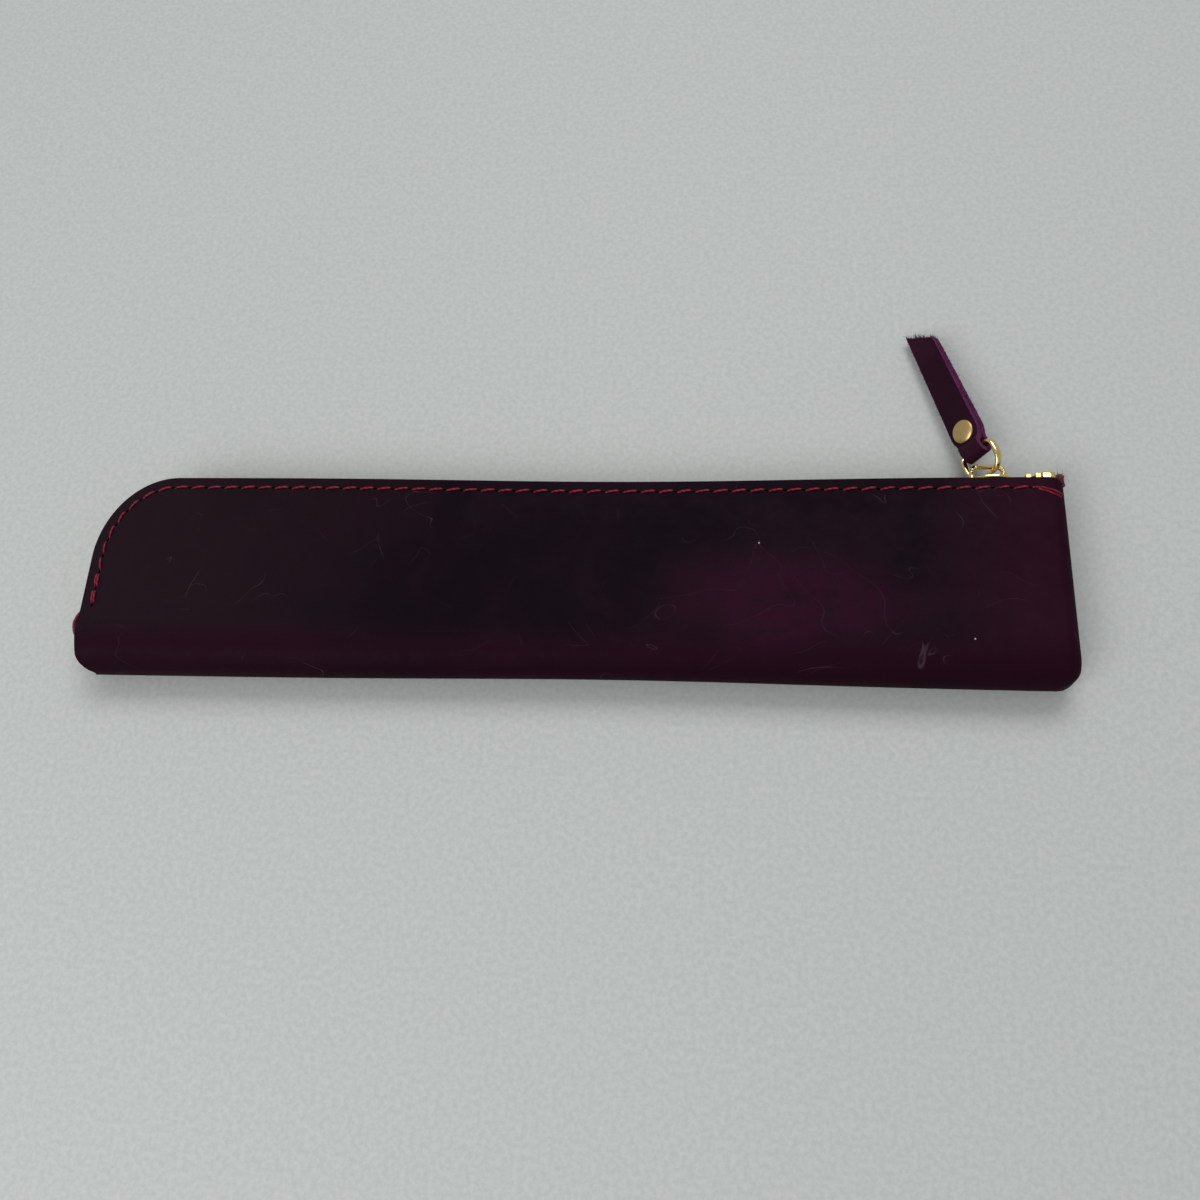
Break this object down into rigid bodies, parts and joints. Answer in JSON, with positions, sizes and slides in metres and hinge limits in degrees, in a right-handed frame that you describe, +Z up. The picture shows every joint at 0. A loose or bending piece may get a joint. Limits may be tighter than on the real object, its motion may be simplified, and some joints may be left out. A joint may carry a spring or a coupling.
{
  "type": "leather pencil case",
  "caption": "Slim folded leather pencil case with a metal zip round its long edge and one rounded corner, and a leather pull strap on a ring.",
  "frame": {"origin": "middle of the flat underside, half the length from each end and half way from the fold to the zip edge", "axes": "+X along the case towards the end with the slider, +Y from the fold to the zip edge, +Z up out of the front panel"},
  "size_m": [0.2132, 0.0855, 0.0116],
  "materials": {
    "leather": "oiled pull-up leather, very dark bordeaux, matt and waxy",
    "strap_leather": "the same leather with a raw, fuzzy purple edge",
    "zip_tape": "dark red woven cotton tape",
    "brass": "polished light gold",
    "thread": "crimson waxed thread"
  },
  "bodies": {
    "case": {"leather_wrap": "leather", "zip_tape_front": "zip_tape", "zip_tape_back": "zip_tape", "teeth_front": "brass", "teeth_back": "brass", "top_stop_front": "brass", "top_stop_back": "brass", "bottom_stop": "brass", "seam_thread_front": "thread", "seam_thread_back": "thread", "side_seam_thread": "thread"},
    "slider": {"slider_body": "brass", "slider_bridge": "brass"},
    "link": {"pull_link": "brass"},
    "strap": {"pull_strap": "strap_leather", "rivet_cap": "brass", "rivet_base": "brass"}
  },
  "joints": [
    {"name": "zip_slide", "type": "slide", "parent": "case", "child": "slider", "axis": [-1, 0, 0], "range_m": [0, 0.17], "deforming": ["teeth_front", "teeth_back"]},
    {"name": "link_swing", "type": "hinge", "parent": "slider", "child": "link", "pos_m": [0.0908, 0.0256, 0.0058], "axis": [1, 0, 0], "range_deg": [0, 50]},
    {"name": "strap_swing", "type": "hinge", "parent": "link", "child": "strap", "pos_m": [0.08827, 0.03202, 0.00572], "axis": [0.5831, 0.2435, 0.7751], "range_deg": [0, 40]}
  ]
}
